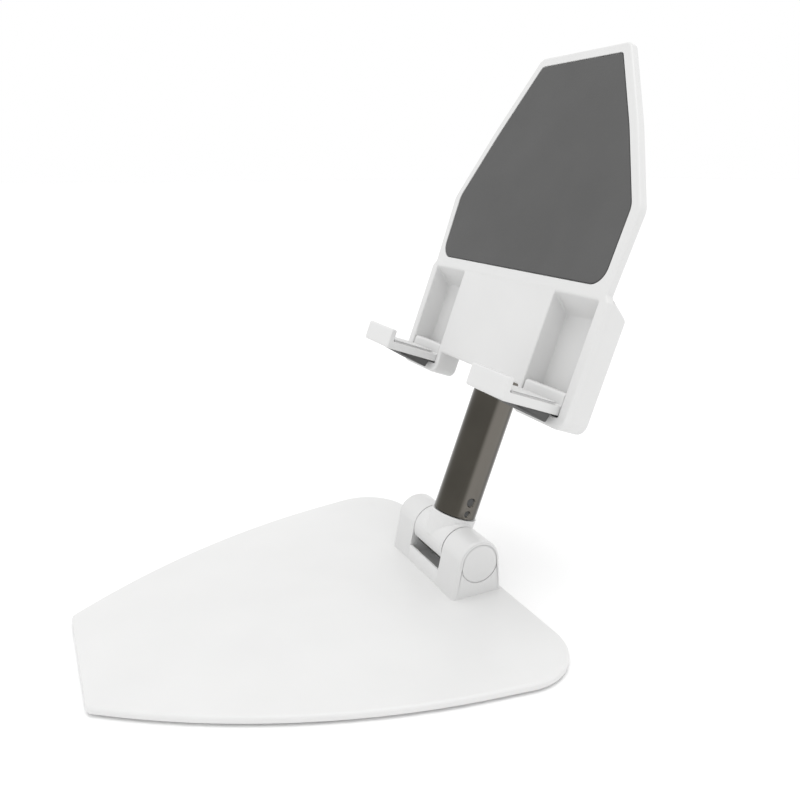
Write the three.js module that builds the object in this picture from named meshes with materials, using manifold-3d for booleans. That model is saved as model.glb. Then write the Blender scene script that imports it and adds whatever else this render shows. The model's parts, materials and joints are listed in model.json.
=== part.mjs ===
// Folding phone stand: a thin weighted base plate, a friction hinge, a round post and a head that
// slides on the post and carries a rubber face and two fold-up hooks.
// Millimetres, +Z up. The user sits on the -Y side, and X is the width axis.

import * as THREE from 'three';
import { mergeVertices } from 'three/addons/utils/BufferGeometryUtils.js';
import Module from 'manifold-3d';

const wasm = await Module();
wasm.setup();

// ---------------------------------------------------------------- driving dimensions

const clearance = 0.3;            // between touching or running pieces
const seam = 0.2;                 // round a pad in its recess
const overrun = 1;                // how far a cutting solid passes what it cuts
const across = 50;                // half-size of a solid that cuts right through a piece
const roundShare = 0.3;           // inset of a rounded edge's middle, as a share of its radius
const sharp = 0.05;               // corner radius of an edge that reads as sharp

// sides of round pieces
const fineSides = 40;
const roundSides = 28;
const smallSides = 16;
const hexSides = 6;

// base plate and mat, measured from the hinge axis
const matThickness = 0.4;
const matInset = 1.0;
const plateThickness = 1.4;
const plateEdgeRound = 0.6;
const plateEdgeBreak = 0.25;
const matEdgeBreak = 0.1;
const baseFront = -81.5;          // straight front edge
const baseBack = 6.5;             // straight back edge
const frontHalfWidth = 16.2;
const shoulderHalfWidth = 39.0;   // where the two straight tangents of the long side meet
const shoulderY = -49.6;
const backHalfWidth = 48.2;       // where the side's tangent meets the back edge's line
const frontCornerRadius = 2.0;
const sideRadius = 150;
const backCornerRadius = 12;

// hinge block
const axisHeight = 9.4;           // hinge axis above the table
const blockHalfWidth = 14.85;
const blockCrown = 5.1;           // radius of the round top, about the hinge axis
const blockFront = -6.7;          // foot of the front face
const blockBack = 5.75;           // foot of the back face
const blockEdgeRound = 0.8;
const forkHalfGap = 6.8;          // between the two ears
const sillHeight = 5.2;           // top of the walls that join the ears
const sillWall = 1.2;
const sillFloor = 2.8;            // floor of the hollow between those walls

// hinge stack along the axis
const axleRadius = 2.0;
const washerRadius = 4.0;
const washerThickness = 0.4;
const coreRadius = 4.0;
const coverRadius = 5.1;
const coverSkirt = -3.1;          // lower edge of the cover, along the post
const lobeRadius = 4.9;           // the core's underside, below the cover
const collarRadius = 5.3;
const collarTop = 5.9;
const capRadius = 4.55;
const capThickness = 1.2;
const capEdgeBreak = 0.2;
const boltHeadRadius = 3.6;
const boltHeadThickness = 2.2;
const boltSocketRadius = 1.4;
const boltSocketDepth = 1.4;
const nutRadius = 3.9;
const nutThickness = 1.9;
const discSpringRadius = 3.7;
const discSpringThickness = 0.6;
const earWeb = 3.4;               // solid part of an ear between its pocket and the fork gap

// block screws
const screwX = 10.8;
const screwY = 3.1;
const screwRadius = 1.2;
const screwHeadRadius = 2.3;
const screwLength = 4.4;
const screwTaper = 0.5;
const screwSocketRadius = 0.9;
const screwSocketDepth = 0.7;

// post
const postTilt = 20.2;            // degrees, leaning back
const tubeRadius = 5.0;
const tubeWall = 0.8;
const spigotLength = 6.4;
const pinLow = { height: 1.2, hole: 0.75, pin: 0.45 };
const pinHigh = { height: 4.0, hole: 1.05, pin: 0.75 };
const pinDepth = 0.3;             // pin ends below the tube's surface
const plugFlange = 1.6;
const plugDepth = 8;

// head, drawn in its own plane: X, U up the face from the pad's lower edge, N out of the face
const headHeight = 62.4;          // pad's lower edge above the hinge axis, along the post
const faceOffset = 7.4;           // post axis behind the face
const faceThickness = 1.8;
const headTop = 48.6;
const topHalfWidth = 14.5;
const kinkHalfWidth = 33.1;
const kinkU = 15.7;
const flankBulge = 0.6;
const waistHalfWidth = 32.3;
const boxHalfWidth = 33.4;
const boxTop = -1.5;
const boxShoulder = 2.6;          // how far the shoulder slopes down over the box depth
const boxBottom = -27.7;
const boxDepth = 6.1;
const boxEdgeRound = 0.7;
const notchHalfWidth = 16.2;      // room for the hinge block when the head slides down
const landBottom = -22.4;
const edgeRound = 0.45;
const padRim = 2.6;               // plate outside the pad
const padTop = 46.4;
const padBottom = 0.6;
const padThickness = 0.6;
const padRecess = 0.8;
const padCorner = 3.6;
const padEdgeBreak = 0.15;

// channels that take the folded hooks
const channelInner = 17.5;
const channelOuter = 30.9;
const channelTop = -2.1;
const channelSlope = 3.5;
const channelDepth = 5.1;
const channelBottom = -25.5;
const outerWallLeft = 0.8;        // outside the blind hole of a hook pin

// hooks
const hookAxisU = -22.85;
const hookAxisN = -2.45;
const hookBarrel = 2.25;
const hookPinRadius = 0.75;
const heelRound = 0.6;            // front corner of the barrel
const armThickness = 1.9;
const armPad = 0.5;
const lipInside = 12.2;
const lipThickness = 1.4;
const lipHeight = 2.2;            // above the arm's pad
const wedgeStart = 1.0;
const wedgeEnd = 9.8;
const wedgeDeep = 1.9;
const wedgeShallow = 0.4;
const wedgeInset = 0.5;

// back cover with the sleeve for the post
const coverWall = 1.5;
const coverInset = 2.6;
const panDepth = 3.4;
const panRun = 5.0;
const sleeveRadius = 7.5;
const sleeveBore = 5.95;
const sleeveEndWall = 2.5;
const slideStroke = 31;           // how far the head slides down the post
const bushFoot = 1.0;             // sleeve wall under the bush
const bushHeight = 16;
const bushWall = 1.0;
const bushFlat = 5.7;             // flat back of the bush, from the post axis
const leafWidth = 3.6;
const leafThickness = 0.25;
const coverScrewRadius = 0.9;
const coverScrewHead = 1.7;
const coverScrewPlaces = [[-11, -13], [11, -13], [-11, 33], [11, 33]];
const bossRadius = 2.4;
const bossEnd = -3.6;

// ---------------------------------------------------------------- materials

const finish = (colour, roughness, metalness = 0) =>
  new THREE.MeshStandardMaterial({ color: colour, roughness, metalness });
const whitePlastic = () => finish(0xf2f2f0, 0.38);
const whitePaint = () => finish(0xf4f4f2, 0.42);
const greyRubber = () => finish(0x696969, 0.85);
const whiteRubber = () => finish(0xe6e6e4, 0.7);
const darkPlastic = () => finish(0x4a4a4c, 0.55);
const darkChrome = () => finish(0x55524e, 0.18, 1);
const steel = () => finish(0xb4b6b8, 0.32, 1);

// ---------------------------------------------------------------- solids

function solidOf(geometry) {
  const bare = geometry.clone();
  bare.deleteAttribute('normal');
  bare.deleteAttribute('uv');
  const merged = mergeVertices(bare);
  const mesh = new wasm.Mesh({
    numProp: 3,
    vertProperties: new Float32Array(merged.attributes.position.array),
    triVerts: new Uint32Array(merged.index.array),
  });
  return new wasm.Manifold(mesh);
}

function geometryOf(solid) {
  const mesh = solid.getMesh();
  const geometry = new THREE.BufferGeometry();
  geometry.setAttribute('position', new THREE.BufferAttribute(new Float32Array(mesh.vertProperties), 3));
  geometry.setIndex(new THREE.BufferAttribute(new Uint32Array(mesh.triVerts), 1));
  return geometry;
}

const cut = (body, ...tools) =>
  geometryOf(tools.reduce((left, tool) => left.subtract(solidOf(tool)), solidOf(body)));
const join = (body, ...others) =>
  geometryOf(others.reduce((whole, other) => whole.add(solidOf(other)), solidOf(body)));
const keep = (body, region) => geometryOf(solidOf(body).intersect(solidOf(region)));

// A block between two corners.
function block(low, high) {
  const geometry = new THREE.BoxGeometry(high[0] - low[0], high[1] - low[1], high[2] - low[2]);
  return geometry.translate((low[0] + high[0]) / 2, (low[1] + high[1]) / 2, (low[2] + high[2]) / 2);
}

// A round rod along X between two stations, with its axis through (y, z).
function rodX(radius, start, end, y = 0, z = 0, sides = roundSides) {
  const geometry = new THREE.CylinderGeometry(radius, radius, Math.abs(end - start), sides);
  return geometry.rotateZ(Math.PI / 2).translate((start + end) / 2, y, z);
}

// A round rod or cone along Z between two heights, with its axis through (x, y).
function rodZ(lowRadius, highRadius, low, high, x = 0, y = 0, sides = roundSides) {
  const geometry = new THREE.CylinderGeometry(highRadius, lowRadius, high - low, sides);
  return geometry.rotateX(Math.PI / 2).translate(x, y, (low + high) / 2);
}

// Corners [x, y, radius] of a closed outline, moved inwards by a distance and rounded with arcs.
function ring(corners, inset = 0) {
  const points = [];
  const count = corners.length;
  const edges = corners.map((corner, i) => {
    const next = corners[(i + 1) % count];
    const length = Math.hypot(next[0] - corner[0], next[1] - corner[1]);
    const along = [(next[0] - corner[0]) / length, (next[1] - corner[1]) / length];
    const start = [corner[0] - along[1] * inset, corner[1] + along[0] * inset];
    return { along, start };
  });
  corners.forEach((corner, i) => {
    const before = edges[(i + count - 1) % count];
    const after = edges[i];
    const turn = before.along[0] * after.along[1] - before.along[1] * after.along[0];
    const gap = [after.start[0] - before.start[0], after.start[1] - before.start[1]];
    const reach = (gap[0] * after.along[1] - gap[1] * after.along[0]) / turn;
    const tip = [before.start[0] + before.along[0] * reach, before.start[1] + before.along[1] * reach];
    const bend = Math.atan2(turn, before.along[0] * after.along[0] + before.along[1] * after.along[1]);
    const side = Math.sign(bend);
    const radius = Math.max(corner[2] - side * inset, sharp);
    const back = radius * Math.tan(Math.abs(bend) / 2);
    const centre = [
      tip[0] - before.along[0] * back - before.along[1] * radius * side,
      tip[1] - before.along[1] * back + before.along[0] * radius * side,
    ];
    const first = Math.atan2(-before.along[0] * side, before.along[1] * side);
    const steps = corner[2] < 0.2 ? 1 : Math.ceil(Math.abs(bend) * (3 + Math.sqrt(corner[2])));
    for (let step = 0; step <= steps; step += 1) {
      const angle = first + (bend * step) / steps;
      points.push([centre[0] + radius * Math.cos(angle), centre[1] + radius * Math.sin(angle)]);
    }
  });
  return points;
}

// The whole outline of a shape given by the corners of its right half, bottom to top.
const mirrored = (half) => [...half, ...half.map(([x, y, r]) => [-x, y, r]).reverse()];

// A closed solid from one outline at several levels, each [inset, height], lowest first.
function stack(corners, levels) {
  const rings = levels.map(([inset]) => ring(corners, inset));
  const count = rings[0].length;
  const position = [];
  rings.forEach((points, level) => points.forEach(([x, y]) => position.push(x, y, levels[level][1])));
  const index = [];
  for (let level = 0; level + 1 < levels.length; level += 1) {
    for (let i = 0; i < count; i += 1) {
      const j = (i + 1) % count;
      const low = level * count;
      const high = low + count;
      index.push(low + i, low + j, high + j, low + i, high + j, high + i);
    }
  }
  const cap = (level, flip) => {
    const outline = rings[level].map(([x, y]) => new THREE.Vector2(x, y));
    THREE.ShapeUtils.triangulateShape(outline, []).forEach(([a, b, c]) => {
      const base = level * count;
      index.push(base + a, base + (flip ? c : b), base + (flip ? b : c));
    });
  };
  cap(0, true);
  cap(levels.length - 1, false);
  const geometry = new THREE.BufferGeometry();
  geometry.setAttribute('position', new THREE.Float32BufferAttribute(position, 3));
  geometry.setIndex(index);
  return geometry;
}

// Turns a solid drawn as (first, second, X) so that its heights run along X.
const alongX = (geometry) => geometry.applyMatrix4(
  new THREE.Matrix4().set(0, 0, 1, 0, 1, 0, 0, 0, 0, 1, 0, 0, 0, 0, 0, 1));

// Twice the area inside a list of corners, positive when they run anticlockwise.
const doubleArea = (corners) => corners.reduce((sum, [x, y], i) => {
  const next = corners[(i + 1) % corners.length];
  return sum + x * next[1] - next[0] * y;
}, 0);

// A prism along X from corners [y, z, radius].
function prismX(corners, start, end) {
  const anticlockwise = doubleArea(corners) > 0 ? corners : [...corners].reverse();
  return alongX(stack(anticlockwise, [[0, start], [0, end]]));
}

// A prism along X from corners [N, U] of the head's side view, in the head's drawing axes (X, U, N).
const prismHead = (corners, start, end) =>
  prismX(corners.map(([n, u, r = sharp]) => [u, n, r]), start, end);

// A solid of revolution about Z from [radius, z] points that start and end on the axis.
const turned = (points, sides = roundSides) =>
  new THREE.LatheGeometry(points.map(([r, z]) => new THREE.Vector2(r, z)), sides).rotateX(Math.PI / 2);

// ---------------------------------------------------------------- scene graph

const stand = new THREE.Group();
const post = new THREE.Group();
const head = new THREE.Group();
post.position.set(0, 0, axisHeight);
post.rotation.x = THREE.MathUtils.degToRad(-postTilt);
head.position.set(0, -faceOffset, headHeight);
stand.add(post);
post.add(head);

function place(parent, name, geometry, material) {
  const mesh = new THREE.Mesh(geometry, material);
  mesh.name = name;
  parent.add(mesh);
  return mesh;
}

// Head pieces are drawn as (X, U, N); this turns N to point along -Y and U along Z.
const placeHead = (name, geometry, material) =>
  place(head, name, geometry.rotateX(Math.PI / 2), material);

// ---------------------------------------------------------------- base

const plateTop = matThickness + plateThickness;
const capStation = blockHalfWidth - capThickness;
const pocketFloor = forkHalfGap + earWeb;
const screwPlaces = [[-1, -1], [1, -1], [-1, 1], [1, 1]].map(([a, b]) => [a * screwX, b * screwY]);
const baseOutline = mirrored([
  [frontHalfWidth, baseFront, frontCornerRadius],
  [shoulderHalfWidth, shoulderY, sideRadius],
  [backHalfWidth, baseBack, backCornerRadius],
]);

function makeBasePlate() {
  const plate = stack(baseOutline, [
    [plateEdgeBreak, matThickness],
    [0, matThickness + plateEdgeBreak],
    [0, plateTop - plateEdgeRound],
    [plateEdgeRound * roundShare, plateTop - plateEdgeRound * roundShare],
    [plateEdgeRound, plateTop],
  ]);
  const holes = screwPlaces.map(([x, y]) => rodZ(
    screwHeadRadius + clearance + sharp, screwRadius + clearance, matThickness - sharp, plateTop + sharp,
    x, y, smallSides));
  return cut(plate, ...holes);
}

function makeMat() {
  return stack(
    baseOutline, [[matInset + matEdgeBreak, 0], [matInset, matEdgeBreak], [matInset, matThickness]]);
}

// Where a straight face from the foot of the block, tangent to the round crown, meets its top line.
function crownCorner(foot) {
  const rise = axisHeight - plateTop;
  const reach = Math.hypot(foot, rise);
  const lean = Math.acos(blockCrown / reach) - Math.atan2(rise, Math.abs(foot));
  return foot - Math.sign(foot) * (axisHeight + blockCrown - plateTop) * Math.tan(lean);
}

function makeHingeBlock() {
  const crownTop = axisHeight + blockCrown;
  const profile = [
    [crownCorner(blockFront), crownTop, blockCrown],
    [blockFront, plateTop, sharp],
    [blockBack, plateTop, sharp],
    [crownCorner(blockBack), crownTop, blockCrown],
  ];
  const half = blockHalfWidth;
  const round = blockEdgeRound;
  const body = alongX(stack(profile, [
    [round, -half],
    [round * roundShare, -half + round * roundShare],
    [0, -half + round],
    [0, half - round],
    [round * roundShare, half - round * roundShare],
    [round, half],
  ]));
  const footHalf = half - round * roundShare;
  const foot = block([-footHalf, blockFront, plateTop], [footHalf, blockBack, plateTop + round]);
  const gap = block([-forkHalfGap, -across, sillHeight], [forkHalfGap, across, across]);
  const well = block(
    [-forkHalfGap, blockFront + sillWall, sillFloor], [forkHalfGap, blockBack - sillWall, across]);
  const saddle = rodX(coverRadius + clearance, -forkHalfGap, forkHalfGap, 0, axisHeight, fineSides);
  const bore = rodX(axleRadius + clearance, -half - overrun, half + overrun, 0, axisHeight);
  const pockets = [-1, 1].map((side) => rodX(
    nutRadius + clearance, side * pocketFloor, side * (half + overrun), 0, axisHeight));
  const capSeats = [-1, 1].map((side) => rodX(
    capRadius + clearance, side * (capStation - clearance), side * (half + overrun), 0, axisHeight,
    fineSides));
  const holeTop = matThickness + screwLength + 2 * clearance;
  const screwHoles = screwPlaces.map(([x, y]) => rodZ(
    screwRadius + clearance, screwRadius + clearance, plateTop - overrun, holeTop, x, y, smallSides));
  return cut(join(body, foot), gap, well, saddle, bore, ...pockets, ...capSeats, ...screwHoles);
}

function makeBlockScrew(x, y) {
  const low = matThickness + clearance / 2;
  const shank = low + screwHeadRadius - screwRadius;
  const tip = matThickness + screwLength;
  const screw = turned([
    [0, low],
    [screwHeadRadius, low],
    [screwRadius, shank],
    [screwRadius, tip - screwTaper],
    [screwRadius - screwTaper, tip],
    [0, tip],
  ], smallSides);
  const socket = rodZ(
    screwSocketRadius, screwSocketRadius, low - overrun, low + screwSocketDepth, 0, 0, hexSides);
  return cut(screw, socket).translate(x, y, 0);
}

function makeEndCap(side) {
  const cap = turned([
    [0, 0],
    [capRadius - capEdgeBreak, 0],
    [capRadius, capEdgeBreak],
    [capRadius, capThickness - capEdgeBreak],
    [capRadius - capEdgeBreak, capThickness],
    [0, capThickness],
  ], fineSides);
  cap.rotateY(side * Math.PI / 2);
  return cap.translate(side * capStation, 0, axisHeight);
}

function makeAxleBolt() {
  const under = pocketFloor + clearance;
  const end = -(pocketFloor + discSpringThickness + nutThickness + 3 * clearance);
  const headEnd = under + boltHeadThickness;
  const shaft = rodX(axleRadius, end, under + overrun / 2, 0, axisHeight);
  const top = rodX(boltHeadRadius, under, headEnd, 0, axisHeight);
  const socket = rodX(
    boltSocketRadius, headEnd - boltSocketDepth, headEnd + overrun, 0, axisHeight, hexSides);
  return cut(join(shaft, top), socket);
}

function makeAxleNut() {
  const inner = pocketFloor + discSpringThickness + 2 * clearance;
  const outer = inner + nutThickness;
  const body = rodX(nutRadius, -outer, -inner, 0, axisHeight, hexSides);
  return cut(body, rodX(axleRadius + clearance, -outer - overrun, -inner + overrun, 0, axisHeight));
}

// A flat ring about the hinge axis.
function makeRing(outer, start, end) {
  const low = Math.min(start, end) - overrun;
  const high = Math.max(start, end) + overrun;
  return cut(
    rodX(outer, start, end, 0, axisHeight), rodX(axleRadius + clearance, low, high, 0, axisHeight));
}

place(stand, 'base_plate', makeBasePlate(), whitePaint());
place(stand, 'base_mat', makeMat(), greyRubber());
place(stand, 'hinge_block', makeHingeBlock(), whitePlastic());
screwPlaces.forEach(([x, y], i) => place(stand, `block_screw_${i + 1}`, makeBlockScrew(x, y), steel()));
place(stand, 'end_cap_left', makeEndCap(-1), whitePlastic());
place(stand, 'end_cap_right', makeEndCap(1), whitePlastic());
place(stand, 'axle_bolt', makeAxleBolt(), steel());
place(stand, 'axle_nut', makeAxleNut(), steel());
const discStart = -pocketFloor - clearance;
place(stand, 'disc_spring', makeRing(discSpringRadius, discStart, discStart - discSpringThickness), steel());
const washerStart = forkHalfGap - clearance;
[['left', -1], ['right', 1]].forEach(([word, side]) => place(
  stand, `friction_washer_${word}`,
  makeRing(washerRadius, side * washerStart, side * (washerStart - washerThickness)), darkPlastic()));

// ---------------------------------------------------------------- post, along its own Z

const coreHalf = forkHalfGap - washerThickness - 2 * clearance;
const tubeStart = collarTop + clearance;
const tubeInner = tubeRadius - tubeWall;
const bushLow = landBottom + bushFoot + clearance;
const bushTop = bushLow + bushHeight;
const tubeEnd = headHeight + bushTop;     // the plug's flange then stops on the bush
const sleeveStop = bushTop + clearance + plugFlange + slideStroke + clearance;
const sleeveTop = sleeveStop + sleeveEndWall;

function makeCore() {
  const spigotRadius = tubeInner - clearance;
  const barrel = rodX(coreRadius, -coreHalf, coreHalf, 0, 0, fineSides);
  const spigot = rodZ(spigotRadius, spigotRadius, 0, tubeStart + spigotLength);
  const pinHoles = [pinLow, pinHigh].map((pin) => rodX(
    pin.pin + clearance, -tubeRadius, tubeRadius, 0, tubeStart + pin.height, smallSides));
  const bore = rodX(axleRadius + clearance, -coreHalf - overrun, coreHalf + overrun);
  const lobeRegion = block([-across, -across, -across], [across, across, coverSkirt - clearance]);
  const lobe = keep(rodX(lobeRadius, -coreHalf, coreHalf, 0, 0, fineSides), lobeRegion);
  return cut(join(barrel, lobe, spigot), bore, ...pinHoles);
}

function makeBarrelCover() {
  const half = forkHalfGap - clearance;
  const shell = rodX(coverRadius, -half, half, 0, 0, fineSides);
  const collar = rodZ(collarRadius, collarRadius, 0, collarTop, 0, 0, fineSides);
  const hollow = rodX(coreRadius + clearance, -half - overrun, half + overrun, 0, 0, fineSides);
  const mouth = rodZ(tubeInner, tubeInner, 0, collarTop + overrun);
  const below = block([-across, -across, -across], [across, across, coverSkirt]);
  return cut(join(shell, collar), hollow, mouth, below);
}

function makeTube() {
  const outer = rodZ(tubeRadius, tubeRadius, tubeStart, tubeEnd, 0, 0, fineSides);
  const inner = rodZ(tubeInner, tubeInner, tubeStart - overrun, tubeEnd + overrun, 0, 0, fineSides);
  const holes = [pinLow, pinHigh].map((pin) => rodX(
    pin.hole, -tubeRadius - overrun, tubeRadius + overrun, 0, tubeStart + pin.height, smallSides));
  return cut(outer, inner, ...holes);
}

function makeTubePin(pin) {
  const reach = tubeRadius - pinDepth;
  return rodX(pin.pin, -reach, reach, 0, tubeStart + pin.height, smallSides);
}

// A plug in the tube's top end, whose flange is wider than the bush below, so the head can't pull off.
function makeTubePlug() {
  const spigotRadius = tubeInner - clearance;
  const spigot = rodZ(spigotRadius, spigotRadius, tubeEnd - plugDepth, tubeEnd + overrun);
  const flangeRadius = sleeveBore - clearance;
  const flangeLow = tubeEnd + clearance;
  const flange = rodZ(flangeRadius, flangeRadius, flangeLow, flangeLow + plugFlange);
  const front = -(faceOffset - faceThickness - clearance);
  const flat = block([-across, -across, -across], [across, front, 2 * across]);
  return cut(join(spigot, flange), flat);
}

place(post, 'hinge_core', makeCore(), darkPlastic());
place(post, 'barrel_cover', makeBarrelCover(), whitePlastic());
place(post, 'post_tube', makeTube(), darkChrome());
place(post, 'tube_pin_lower', makeTubePin(pinLow), steel());
place(post, 'tube_pin_upper', makeTubePin(pinHigh), steel());
place(post, 'tube_plug', makeTubePlug(), darkPlastic());

// ---------------------------------------------------------------- head

const boxBack = -boxDepth;
const faceBack = -faceThickness;
const flankMiddle = (wide, narrow, low, high) =>
  [(wide + narrow) / 2 + flankBulge, (low + high) / 2, 60];

const faceOutline = mirrored([
  [notchHalfWidth, landBottom, 0.6],
  [notchHalfWidth, boxBottom, 2.2],
  [boxHalfWidth, boxBottom, 2.6],
  [boxHalfWidth, boxTop - 0.7, 0.5],
  [waistHalfWidth, boxTop + 0.6, 0.5],
  [kinkHalfWidth, kinkU, 4],
  flankMiddle(kinkHalfWidth, topHalfWidth, kinkU, headTop),
  [topHalfWidth, headTop, 2.2],
]);
const boxOutline = mirrored([
  [notchHalfWidth, landBottom, 0.6],
  [notchHalfWidth, boxBottom, 2.2],
  [boxHalfWidth, boxBottom, 2.6],
  [boxHalfWidth, boxTop, 0.4],
]);
const padOutline = mirrored([
  [waistHalfWidth - padRim + 0.4, padBottom, padCorner],
  [kinkHalfWidth - padRim, kinkU + 0.2, 4],
  flankMiddle(kinkHalfWidth - padRim, topHalfWidth - padRim + 1.2, kinkU, padTop),
  [topHalfWidth - padRim + 1.2, padTop, 1.2],
]);
const hookSides = [['left', -1], ['right', 1]];

// A prism over both channels' or hooks' X range, mirrored for the left side.
const spanX = (side, inner, outer) => (side > 0 ? [inner, outer] : [-outer, -inner]);

function makeHeadFront() {
  const face = stack(faceOutline, [
    [0.2, faceBack],
    [0, faceBack + 0.2],
    [0, -edgeRound],
    [edgeRound * 0.3, -edgeRound * 0.3],
    [edgeRound, 0],
  ]);
  const box = stack(boxOutline, [
    [boxEdgeRound, boxBack],
    [boxEdgeRound * roundShare, boxBack + boxEdgeRound * roundShare],
    [0, boxBack + boxEdgeRound],
    [0, faceBack + clearance],
  ]);
  const shoulder = prismHead([
    [faceBack - 0.01, boxTop + 6],
    [boxBack - 1, boxTop + 6],
    [boxBack - 1, boxTop - boxShoulder - 0.6],
    [faceBack - 0.01, boxTop],
  ], -50, 50);
  const cavity = block(
    [-notchHalfWidth, boxBottom - 5, boxBack - 1],
    [notchHalfWidth, boxTop + 5, faceBack]);
  const slope = channelSlope / channelDepth;
  const channels = hookSides.map(([, side]) => prismHead([
    [1, channelTop + slope],
    [-channelDepth, channelTop - channelSlope],
    [-channelDepth, channelBottom],
    [1, channelBottom],
  ], ...spanX(side, channelInner, channelOuter)));
  const recess = stack(padOutline, [[-seam, -padRecess], [-seam, 1]]);
  const pinHoles = hookSides.map(([, side]) => {
    const [start, end] = spanX(side, notchHalfWidth - 1, boxHalfWidth - outerWallLeft);
    return rodX(hookPinRadius + clearance, start, end, hookAxisU, hookAxisN, 14);
  });
  const screwHoles = coverScrewPlaces.map(([x, u]) => rodZ(
    coverScrewRadius + 0.25, coverScrewRadius + 0.25, faceBack - 5, -padRecess - 0.25, x, u, 12));
  const bosses = coverScrewPlaces.map(([x, u]) => rodZ(
    bossRadius, bossRadius, bossEnd, faceBack + 0.3, x, u, 18));
  const body = join(face, cut(box, shoulder, cavity), ...bosses);
  return cut(body, ...channels, recess, ...pinHoles, ...screwHoles);
}

function makeFacePad() {
  return stack(padOutline, [[0, -padThickness], [0, -padEdgeBreak], [padEdgeBreak, 0]]);
}

const panFront = faceBack - clearance;
const panBack = panFront - panDepth;
const neckHalf = notchHalfWidth - clearance;

// The back cover's outline, and one for its hollow, both drawn from the same places.
const coverOutline = mirrored([
  [neckHalf, landBottom, 1.2],
  [neckHalf, boxTop + 1.0, 1.0],
  [waistHalfWidth - coverInset, boxTop + 1.0, 3],
  [kinkHalfWidth - coverInset, kinkU - 0.6, 4],
  flankMiddle(kinkHalfWidth - coverInset, topHalfWidth - coverInset + 1, kinkU, headTop - coverInset),
  [topHalfWidth - coverInset + 1, headTop - coverInset, 3],
]);

function makeHeadBack() {
  const pan = stack(coverOutline, [
    [panRun, panBack],
    [panRun * 0.45, panBack + panDepth * 0.2],
    [panRun * 0.12, panBack + panDepth * 0.6],
    [0, panFront],
  ]);
  const hollow = stack(coverOutline, [
    [panRun + coverWall * 0.6, panBack + coverWall],
    [panRun * 0.45 + coverWall, panBack + panDepth * 0.2 + coverWall * 0.8],
    [coverWall, panFront + 0.5],
  ]);
  const axisN = -faceOffset;
  const domeCentre = sleeveTop - sleeveRadius * 0.35;
  const dome = new THREE.SphereGeometry(sleeveRadius, roundSides, roundSides / 2);
  dome.translate(0, domeCentre, axisN);
  const domeRegion = block([-20, landBottom, -40], [20, sleeveTop, panFront]);
  const barrel = new THREE.CylinderGeometry(sleeveRadius, sleeveRadius, domeCentre - landBottom, 32);
  barrel.translate(0, (landBottom + domeCentre) / 2, axisN);
  const cheeks = block(
    [-sleeveRadius, landBottom, axisN], [sleeveRadius, domeCentre, panFront]);
  const sleeve = keep(join(barrel, dome, cheeks), domeRegion);
  const bore = new THREE.CylinderGeometry(sleeveBore, sleeveBore, sleeveStop - landBottom + 10, 32);
  bore.translate(0, (sleeveStop + landBottom - 10) / 2, axisN);
  const throat = block([-sleeveBore, landBottom - 5, axisN], [sleeveBore, sleeveStop, panFront + 1]);
  const seatRadius = tubeRadius + bushWall + 2 * clearance;
  const bushSeat = new THREE.CylinderGeometry(seatRadius, seatRadius, bushHeight + 2 * clearance, 32);
  bushSeat.translate(0, bushLow + bushHeight / 2, axisN);
  const heads = coverScrewPlaces.map(([x, u]) => rodZ(
    coverScrewHead + 0.3, coverScrewHead + 0.3, panBack - 1, panBack + coverWall * 0.55, x, u, 18));
  const shanks = coverScrewPlaces.map(([x, u]) => rodZ(
    coverScrewRadius + 0.3, coverScrewRadius + 0.3, panBack - 1, panFront + 1, x, u, 14));
  const bossSeats = coverScrewPlaces.map(([x, u]) => rodZ(
    bossRadius + clearance, bossRadius + clearance, bossEnd - clearance, panFront + 1, x, u, 18));
  const holes = [...heads, ...shanks, ...bossSeats];
  return cut(join(cut(pan, hollow), sleeve), bore, throat, bushSeat, ...holes);
}

// A bush round the post, open towards the face and flat at the back, that gives the slide its friction.
function makeGuideBush() {
  const outerRadius = tubeRadius + bushWall + clearance;
  const innerRadius = tubeRadius + clearance;
  const outer = new THREE.CylinderGeometry(outerRadius, outerRadius, bushHeight, 32);
  const inner = new THREE.CylinderGeometry(innerRadius, innerRadius, bushHeight + 2, 32);
  outer.translate(0, bushLow + bushHeight / 2, -faceOffset);
  inner.translate(0, bushLow + bushHeight / 2, -faceOffset);
  const front = block([-20, bushLow - 5, panFront - clearance], [20, bushTop + 5, 20]);
  const back = block([-20, bushLow - 5, -40], [20, bushTop + 5, -faceOffset - bushFlat]);
  return cut(outer, inner, front, back);
}

// A leaf spring between the sleeve and the flat back of the bush.
function makeBrakeLeaf() {
  const front = -faceOffset - bushFlat - clearance / 2;
  return block(
    [-leafWidth / 2, bushLow + 1, front - leafThickness], [leafWidth / 2, bushTop - 1, front]);
}

function makeCoverScrew(x, u) {
  const under = panBack + coverWall * 0.55 - 0.25;
  const tip = -padRecess - 0.55;
  const shank = rodZ(coverScrewRadius, coverScrewRadius, under - 0.2, tip, x, u, 12);
  const top = rodZ(coverScrewHead - 0.15, coverScrewHead, under - 0.9, under, x, u, 18);
  const slotLong = block([x - 1.1, u - 0.22, under - 2], [x + 1.1, u + 0.22, under - 0.4]);
  const slotCross = block([x - 0.22, u - 1.1, under - 2], [x + 0.22, u + 1.1, under - 0.4]);
  return cut(join(shank, top), slotLong, slotCross);
}

placeHead('head_front', makeHeadFront(), whitePlastic());
placeHead('head_back', makeHeadBack(), whitePlastic());
placeHead('face_pad', makeFacePad(), greyRubber());
placeHead('guide_bush', makeGuideBush(), darkPlastic());
placeHead('brake_leaf', makeBrakeLeaf(), steel());
coverScrewPlaces.forEach(([x, u], i) => placeHead(`cover_screw_${i + 1}`, makeCoverScrew(x, u), steel()));

// ---------------------------------------------------------------- hooks, drawn open

const armBottom = hookAxisU - hookBarrel;
const armTop = armBottom + armThickness;
const armPadTop = armTop + armPad;
const lipOutside = lipInside + lipThickness;

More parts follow.
